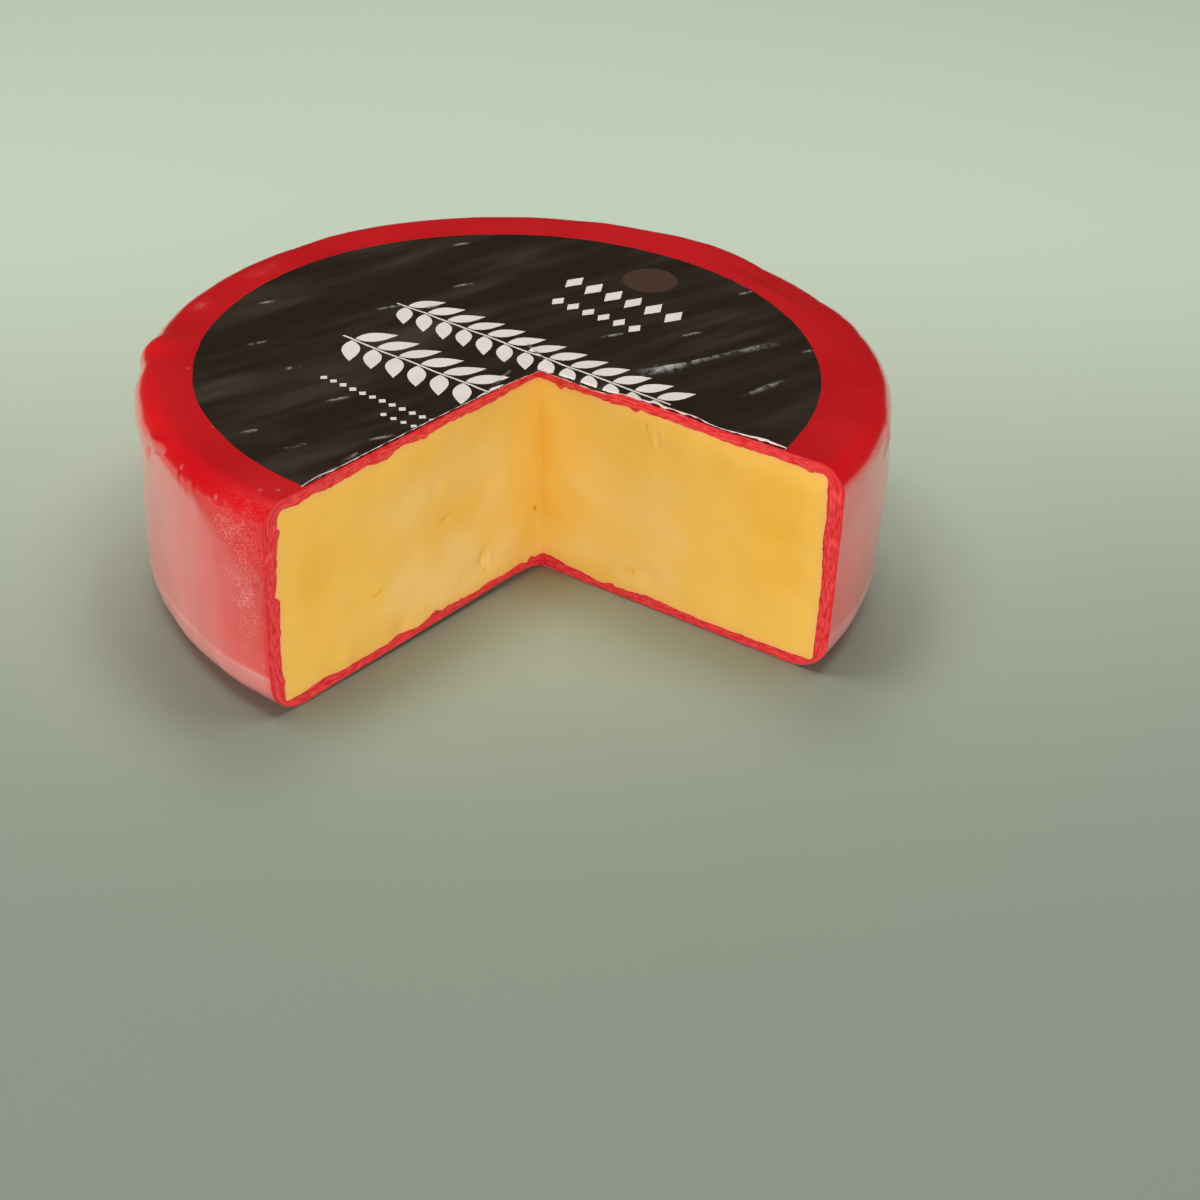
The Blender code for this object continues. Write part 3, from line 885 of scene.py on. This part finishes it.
def cut_strip(side, counts):
    """The wax band in one cut face as a folded-over strip: rows across it, and columns along it."""
    outer, inner, walk = band_edges(side, counts)
    share, depth = (np.array(part)[:, None] for part in zip(*BAND_ROWS))
    along, height = (start + (end - start) * share for start, end in zip(outer, inner))
    lines = stacked(walk * 60.0, share * 5.0, 3.0 + side)
    grain = stacked(walk * 420.0, share * 9.0, 8.0 + side)
    rough = 0.00009 * noise_at(lines) + 0.00002 * noise_at(grain)
    on_front = smooth_step(0.02, 0.15, share) * smooth_step(1.0, 0.93, share) * (depth < 0.0)
    at_corner = smooth_step(0.0, 0.003, along)
    ground = relief(side, along, height) * smooth_step(0.0, 0.6, share)
    depth = ground + (depth / 1000.0 + rough * on_front) * at_corner
    # A painted highlight along the band's outer edge near the foot.
    pale = 0.5 * smooth_step(0.10, 0.0, share) * smooth_step(0.007, 0.004, height)
    return face_point(side, along, height, depth), *np.broadcast_arrays(walk, share, pale)


def build_cut_wax(material):
    """One closed ring of cut wax: round the left face from foot to top, and back round the right."""
    counts = (250, 34, 116, 46, 240)
    left = [np.flip(part, axis=1) for part in cut_strip(LEFT, counts)]
    right = cut_strip(RIGHT, counts)
    points, *masks = (np.concatenate([one, other[:, 1:]], axis=1) for one, other in zip(left, right))
    layers = dict(zip(("walk", "share", "pale"), masks))
    piece = closed_piece("wax_cut_edge", [points], material, layers=layers)
    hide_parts("wax_coat")


def paste_grid(side):
    """The paste's cut face: for each grid point, its distance from the corner and its height."""
    low, high = PASTE_SPAN
    heights = np.linspace(low, high, round((high - low) / PASTE_CELL))
    reach = face_reach(side, heights) - paste_bend(heights)
    along = reach[:, None] * np.linspace(0.0, 1.0, round(CUT_LENGTH / PASTE_CELL))
    return banded(side, along, np.broadcast_to(heights[:, None], along.shape))


def paste_bend(height):
    """How far in from the rim the paste's side lies, its rounded corners included."""
    low, high = PASTE_SPAN
    top_round, foot_round = (radius + PASTE_UNDER_WAX for radius in PASTE_CORNERS)
    top = np.clip(height - (high - top_round), 0.0, top_round)
    foot = np.clip((low + foot_round) - height, 0.0, foot_round)
    inset = PASTE_RIM - PASTE_UNDER_WAX
    inset = inset + top_round - np.sqrt(top_round ** 2 - top ** 2)
    return inset + foot_round - np.sqrt(foot_round ** 2 - foot ** 2)


def near_wax(side, along, height):
    """How much the wax reddens the paste: most right beside it, and nothing a little way in."""
    rim = face_reach(side, height) - lookup(BAND_RIM[side], height) - along
    foot, top = lookup(BAND_FOOT[side], along), lookup(BAND_TOP[side], along)
    gap = np.minimum(np.minimum(height - foot, top - height), rim)
    return 0.35 * smooth_step(0.0035, 0.0, gap) + 0.40 * smooth_step(0.0011, 0.0, gap)


def build_paste(material):
    """The paste as a closed body: two fine cut faces and a coarse hidden back under the wax."""
    faces, tints, edges, rims = [], [], [], []
    for side in (LEFT, RIGHT):
        along, height = paste_grid(side)
        depth = relief(side, along, height) + strokes(along, height, PASTE_MARKS[side]) / 1000.0
        points = face_point(side, along, height, depth)
        faces.append(points)
        tints.append(np.ravel(spots(along, height, PASTE_TINTS_AND_SHADE[side])))
        edges.append(np.ravel(near_wax(side, along, height)))
        rims.append(np.concatenate([points[0], points[1:-1, -1], points[-1, ::-1]]))
    bearing = np.linspace(RIM_BEARINGS[RIGHT], RIM_BEARINGS[LEFT], 50)
    back = paste_back(bearing, *paste_grid(LEFT)[0].shape)
    back[:, 0], back[:, -1] = rims[RIGHT], rims[LEFT]
    hidden = np.zeros(back.shape[0] * back.shape[1])
    layers = {"tint_and_shade": np.concatenate([*tints, hidden]), "near_wax": np.concatenate([*edges, hidden])}
    piece = closed_piece("cheese_body", [*faces, back], material, layers=layers)
    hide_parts("cheese_paste")


def paste_back(bearing, rows, columns):
    """The hidden surface: along the base, up the side and back along the top, at each bearing."""
    low, high = PASTE_SPAN
    heights = np.linspace(low, high, rows)
    shares = np.linspace(0.0, 1.0, columns)
    height = np.concatenate([np.full(columns, low), heights[1:-1], np.full(columns, high)])
    share = np.concatenate([shares, np.ones(rows - 2), shares[::-1]])
    height, share = (np.outer(part, np.ones(bearing.shape)) for part in (height, share))
    turns = np.broadcast_to(bearing, height.shape)
    _, _, reach = ray_in(turns, height)
    return fan_point(turns, reach - (reach - paste_bend(height)) * share, height)


def film_height(points):
    """How high the wrinkled film lies, at an array of level points."""
    x, y = points[:, 0], points[:, 1]
    run, across = points @ direction(STREAK_BEARING), points @ direction(STREAK_BEARING + 90.0)
    broad = stacked(run * 16.0, across * 80.0, 2.0)
    fine = stacked(run * 45.0, across * 210.0, 6.0)
    rise = 0.00035 * noise_at(broad) + 0.00008 * noise_at(fine)
    rise *= 1.0 - 0.6 * smooth_step(0.02, 0.07, x)
    rise += strokes(x, y, [*FILM_CREASES, *film_folds(FOLD_RISE)]) / 1000.0
    inside = LABEL_RADIUS - np.hypot(x - LABEL_CENTRE[0], y - LABEL_CENTRE[1])
    rise *= smooth_step(0.001, 0.006, inside)
    rise -= 0.00006 * smooth_step(0.0006, -0.0006, inside)
    return FILM_TOP + rise + film_edge_rise(points)


def film_folds(strength):
    """The film's small folds, as strokes."""
    folds = []
    for x, y, half_length in FILM_FOLDS:
        run, climb = direction(FOLD_BEARING) * half_length
        folds.append((x - run, y - climb, x + run, y + climb, FOLD_HALF_WIDTH, strength))
    return folds


def crease_wear_and_glint_share(points):
    """How pale the film is painted along its creases and folds: partly wear, partly painted glints."""
    creases = [(*mark[:-1], CREASE_GLINT_SHARE) for mark in FILM_CREASES]
    return np.minimum(strokes(points[:, 0], points[:, 1], creases + film_folds(FOLD_GLINT_SHARE)), 1.0)


def film_edge_rise(points):
    """How the film lifts along its cut edge, or bends down where it hangs over the wax."""
    rise = np.zeros(len(points))
    for side in (LEFT, RIGHT):
        along, depth = face_place(points, side, CORNER_TOP)
        back = np.maximum(depth - lookup(FILM_SETBACK[side], along), 0.0)
        hangs = smooth_step(0.0001, 0.0008, lookup(FILM_DROOP[side], along))
        ahead = np.clip(1.0 - back / FILM_BEND, 0.0, 1.0)
        bend = FILM_BEND * (1.0 - np.sqrt(1.0 - ahead ** 2))
        curl = lookup(FILM_CURL[side], along) * np.exp(-(back / 0.0009) ** 2)
        rise += (curl * (1.0 - hangs) - bend * hangs) * (along > 0.0)
    return rise


def film_hem():
    """Extra points of the film close behind its cut edges, where it bends."""
    rows = []
    for side in (LEFT, RIGHT):
        along = np.arange(0.002, 0.090, FILM_STEP)
        for back in FILM_HEM:
            depth = lookup(FILM_SETBACK[side], along) + back
            rows.append(face_point(side, along, WHEEL_HEIGHT, depth)[:, :2])
    return np.concatenate(rows)


def film_cut_edge(side):
    """The film's torn edge along one side of the cut, from the corner outward: its points, how far
    it hangs down at each, and how much of its edge is pale."""
    reach = face_reach(side, WHEEL_HEIGHT) - (film_edge_inset(RIM_BEARINGS[side]) - FILM_UNDER_LIP)
    along = np.arange(0.0006, reach - 0.0001, FILM_STEP)
    place = stacked(along, 0.0, 20.0 + side)
    torn = layered_noise(place, TORN_FILM)
    if side == RIGHT:
        tuft = smooth_step(TUFT[0], TUFT[1], along) * smooth_step(TUFT[2], TUFT[1], along)
        torn += 0.0012 * noise_at(place, 700.0) * tuft
    depth = lookup(FILM_SETBACK[side], along) + torn
    droop = np.maximum(lookup(FILM_DROOP[side], along) + 3.0 * torn, 0.0) * (depth < -0.0001)
    points = face_point(side, along, WHEEL_HEIGHT, depth)[:, :2]
    pale = lookup(FILM_LIGHT_EDGE[side], along) * np.clip(1.0 + 2.2 * noise_at(place, 300.0), 0.25, 2.0)
    return points, droop, pale


def film_outline():
    """The film's whole edge: round under the lip of wax, in along the left cut and out along the
    right, with how far it hangs down at each point and how much of it is pale."""
    margin = 0.75
    bearing = np.linspace(RIM_BEARINGS[RIGHT] + margin, RIM_BEARINGS[LEFT] - margin, 760)
    inset = film_edge_inset(bearing) - FILM_UNDER_LIP
    arc = fan_point(bearing, inset, WHEEL_HEIGHT)[:, :2]
    flat = np.zeros(len(arc))
    left = [part[::-1] for part in film_cut_edge(LEFT)]
    parts = zip((arc, flat, flat), left, film_cut_edge(RIGHT))
    return [np.concatenate(part) for part in parts]


def turned_left(points):
    """An outline's points, in counterclockwise order."""
    area = cross(points, np.roll(points, -1, axis=0)).sum()
    return points if area > 0.0 else points[::-1]


def stepped(points):
    """A closed outline with extra points, so that no step is longer than PRINT_STEP."""
    points = turned_left(points)
    out = []
    for start, end in zip(points, np.roll(points, -1, axis=0)):
        count = max(1, math.ceil(np.linalg.norm(end - start) / PRINT_STEP))
        out += [start + (end - start) * k / count for k in range(count)]
    return np.array(out)


def leaf(foot, bearing, length, width):
    """A pointed leaf that grows from its foot."""
    share = np.linspace(0.0, 1.0, 15)
    half = 0.5 * width * np.sin(math.pi * share ** 0.8)
    run = np.concatenate([share, share[-2:0:-1]]) * length
    side = np.concatenate([half, -half[-2:0:-1]])
    way, across = direction(bearing), direction(bearing + 90.0)
    return np.asarray(foot) + run[:, None] * way + side[:, None] * across


def disc(centre, radius):
    return np.asarray(centre) + radius * direction(np.linspace(0.0, 360.0, 96, endpoint=False))


def garland(start, end, middle, height, pitch):
    """A thin stem with a pair of leaves at each step."""
    stem, lean = 0.0008, 52.0
    length = height / 2 / math.sin(math.radians(lean))
    shapes = []
    for k in range(int((end - start) / pitch)):
        x = start + pitch * (k + 0.5)
        for up in (1.0, -1.0):
            shapes.append(leaf((x, middle + up * stem), up * lean, length, 0.42 * length))
    low, high = middle - stem / 2, middle + stem / 2
    shapes.append(np.array([(start, low), (end, low), (end, high), (start, high)]))
    return shapes


def lozenges(start, end, middle, pitch, width, height):
    """A row of lozenges, spread evenly from start to end."""
    count = int((end - start) / pitch)
    first = (start + end - (count - 1) * pitch) / 2
    corners = np.array([(-width / 2, 0.0), (0.0, -height / 2), (width / 2, 0.0), (0.0, height / 2)])
    return [corners + (first + k * pitch, middle) for k in range(count)]


def print_shapes():
    """The film's print: leaf garlands, rows of lozenges and a brown disc, all plain ornament."""
    white = garland(-0.058, 0.058, 0.0065, 0.021, 0.0088)
    white += garland(-0.055, 0.058, -0.0245, 0.023, 0.0096)
    white += lozenges(-0.026, 0.026, 0.060, 0.0086, 0.0062, 0.0110)
    white += lozenges(-0.020, 0.020, 0.044, 0.0066, 0.0046, 0.0070)
    white += lozenges(-0.042, 0.060, -0.051, 0.0042, 0.0030, 0.0030)
    white += lozenges(-0.012, 0.034, -0.0575, 0.0042, 0.0026, 0.0026)
    return white, [disc((-0.002, 0.079), 0.0098)]


def inside_outline(points, outline):
    """Which points lie inside a closed outline."""
    x, y = points[:, 0], points[:, 1]
    inside = np.zeros(len(points), dtype=bool)
    for (x0, y0), (x1, y1) in zip(outline, np.roll(outline, -1, axis=0)):
        crosses = (y0 > y) != (y1 > y)
        if crosses.any():
            inside ^= crosses & (x < x0 + (x1 - x0) * (y - y0) / (y1 - y0 + 1e-12))
    return inside


def film_grid(outline):
    """Evenly spread points inside the film's edge, clear of its cut sides."""
    clear = 0.0003
    rows = np.arange(-LABEL_RADIUS, LABEL_RADIUS, FILM_CELL * math.sqrt(3) / 2) + LABEL_CENTRE[1]
    columns = np.arange(-LABEL_RADIUS, LABEL_RADIUS, FILM_CELL) + LABEL_CENTRE[0]
    x, y = np.meshgrid(columns, rows)
    x[1::2] += FILM_CELL / 2
    points = np.stack([x.ravel(), y.ravel()], axis=-1)
    for side in (LEFT, RIGHT):
        along, depth = face_place(points, side, CORNER_TOP)
        points = points[(along < 0.0) | (depth > lookup(FILM_SETBACK[side], along) + clear)]
    return points[inside_outline(points, outline)]


def print_crossings(outline, shapes):
    """Where the print's edges cross the film's edge, as places counted along its points."""
    ahead = np.roll(outline, -1, axis=0) - outline
    places = []
    for shape in shapes:
        for start, run in zip(shape, np.roll(shape, -1, axis=0) - shape):
            offset = start - outline
            turn = cross(ahead, run) + 1e-15
            along, across = cross(offset, run) / turn, cross(offset, ahead) / turn
            hits = np.nonzero((along > 0.0) & (along < 1.0) & (across > 0.0) & (across < 1.0))[0]
            places += (hits + along[hits]).tolist()
    return places


def film_wall(outline, droop, pale):
    """The film's edge, turned down: rows of points from its top round the hanging flap to its base."""
    back = np.roll(outline, 1, axis=0) - np.roll(outline, -1, axis=0)
    back = stacked(back[:, 1], -back[:, 0]) / np.linalg.norm(back, axis=1)[:, None]
    top = film_height(outline)
    foot = np.full(len(outline), FILM_SEAT)
    base = foot - droop
    middle = np.where(droop > 0.0, base + pale, np.maximum(top - pale, base + 0.00001))
    rows = ((0.0, top), (0.0, np.minimum(middle, top - 0.00001)), (0.0, base), (0.00035, base),
            (0.00035, foot))
    return np.stack([raised(outline + back * inset, height) for inset, height in rows])


def film_edge(shapes):
    """The film's whole edge, with a point added wherever one of the print's shapes crosses it."""
    outline, droop, pale = film_outline()
    numbers = np.arange(len(outline) + 1)
    places = np.sort(np.concatenate([numbers[:-1], print_crossings(outline, shapes)]))
    x, y, droop, pale = (np.interp(places, numbers, np.append(column, column[0]))
                         for column in (*outline.T, droop, pale))
    return stacked(x, y), droop, pale


def film_sheet(outline, shapes):
    """The film's wrinkled top, cut along the print: its points, its faces, and for each face the
    number of the shape that it lies in, or 0."""
    loops = [outline, *shapes]
    points = np.concatenate([film_grid(outline), film_hem(), *loops])
    polygons, start = [], len(points) - sum(map(len, loops))
    for loop in loops:
        polygons.append(list(range(start, start + len(loop))))
        start += len(loop)
    flat = [Vector(point) for point in points.tolist()]
    inside_only, reach = 1, 0.000001
    corners, _, faces, _, _, owners = delaunay_2d_cdt(flat, [], polygons, inside_only, reach, True)
    level = np.array([tuple(corner) for corner in corners])
    kept, numbers = zip(*((face, max(owner)) for face, owner in zip(faces, owners) if 0 in owner))
    return raised(level, film_height(level)), kept, numbers


def build_film(materials):
    """The printed film, its print cut into its mesh, with a thin torn edge along the cut."""
    white, brown = print_shapes()
    shapes = [stepped(shape) for shape in white + brown]
    outline, droop, pale = film_edge(shapes)
    sheet, faces, numbers = film_sheet(outline, shapes)
    slots = [PLAIN if number == 0 else WHITE if number <= len(white) else BROWN for number in numbers]

    wall = film_wall(outline, droop, pale)
    index = len(sheet) + np.arange(wall[..., 0].size).reshape(wall.shape[:2])
    polygons = [*faces, *quads_between(index, np.roll(index, -1, axis=1)), index[-1].tolist()]
    hangs = droop > 0.0
    for here, elsewhere in ((PLAIN, TORN_EDGE), (TORN_EDGE, PLAIN)):
        slots += np.where(hangs, here, elsewhere).tolist()
    slots += [PLAIN] * (len(polygons) - len(slots))
    vertices = np.concatenate([sheet, wall.reshape(-1, 3)])
    layers = {"crease_wear_and_glint": crease_wear_and_glint_share(vertices[:, :2])}
    piece = welded_piece("film_on_top", vertices.tolist(), polygons, materials, layers, slots)
    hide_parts("film_label")


def build_floor():
    """A plain floor with painted shade: palest behind the wheel and a little deeper in front of it."""
    shader = Shader("floor")
    forward = (*direction(CAMERA_BEARING), 0.0)
    depth = shader.node("ShaderNodeVectorMath", {0: shader.place, 1: forward}, operation="DOT_PRODUCT")
    # Painted shade: the floor darkens from behind the wheel towards the front.
    share = shader.between(depth.outputs["Value"], -0.32, 0.22)
    colour = shader.mix(share, FLOOR_PALE, FLOOR_PAINTED_SHADE)
    shader.set(Base_Color=colour, Roughness=0.9, Specular_IOR_Level=0.1)
    bpy.ops.mesh.primitive_circle_add(vertices=128, radius=FLOOR_RADIUS, fill_type="NGON")
    floor = bpy.context.object
    floor.name = "floor"
    floor.data.materials.append(shader.material)


def add_aimed(name, data, place, aim, roll=0.0):
    """A light or camera that looks from place at aim, turned by roll degrees about that line."""
    thing = bpy.data.objects.new(name, data)
    thing.location = place
    thing.rotation_mode = "QUATERNION"
    towards = (aim - thing.location).to_track_quat("-Z", "Y")
    thing.rotation_quaternion = towards @ Quaternion((0.0, 0.0, 1.0), math.radians(roll))
    bpy.context.scene.collection.objects.link(thing)
    return thing


def soft_light(name, bearing, elevation, distance, size, power, glossy):
    """An area light that faces the wheel. Where glossy is off, the wax doesn't mirror it."""
    turn, rise = math.radians(CAMERA_BEARING + bearing), math.radians(elevation)
    light = bpy.data.lights.new(name, "AREA")
    light.shape = "RECTANGLE"
    light.size, light.size_y = size
    light.energy = power
    level = math.cos(rise) * distance
    place = (math.cos(turn) * level, math.sin(turn) * level, math.sin(rise) * distance)
    lamp = add_aimed(name, light, place, LIGHT_AIM)
    lamp.visible_camera = False
    lamp.visible_glossy = glossy


def light_scene():
    world = bpy.data.worlds.new("studio")
    world.use_nodes = True
    background = world.node_tree.nodes["Background"]
    background.inputs["Color"].default_value = WORLD_COLOUR
    background.inputs["Strength"].default_value = WORLD_STRENGTH
    bpy.context.scene.world = world
    for light in LIGHTS:
        soft_light(*light)


def add_camera():
    data = bpy.data.cameras.new("camera")
    data.sensor_width = 36.0
    data.lens = CAMERA_LENS
    bpy.context.scene.camera = add_aimed("camera", data, CAMERA_PLACE, CAMERA_AIM, CAMERA_ROLL)


def main():
    bpy.context.scene.view_settings.view_transform = "Standard"
    add_camera()
    build_wax(wax_material())
    build_cut_wax(cut_wax_material())
    build_paste(paste_material())
    build_film([
        film_material("film", FILM_BLACK, FILM_SHEEN_GREY, 0.28),
        film_material("print_white", PRINT_WHITE, PRINT_WHITE, 0.32),
        film_material("print_brown", PRINT_BROWN, PRINT_BROWN, 0.32),
        film_material("film_edge", FILM_EDGE, FILM_EDGE, 0.4),
    ])
    build_floor()
    light_scene()


main()
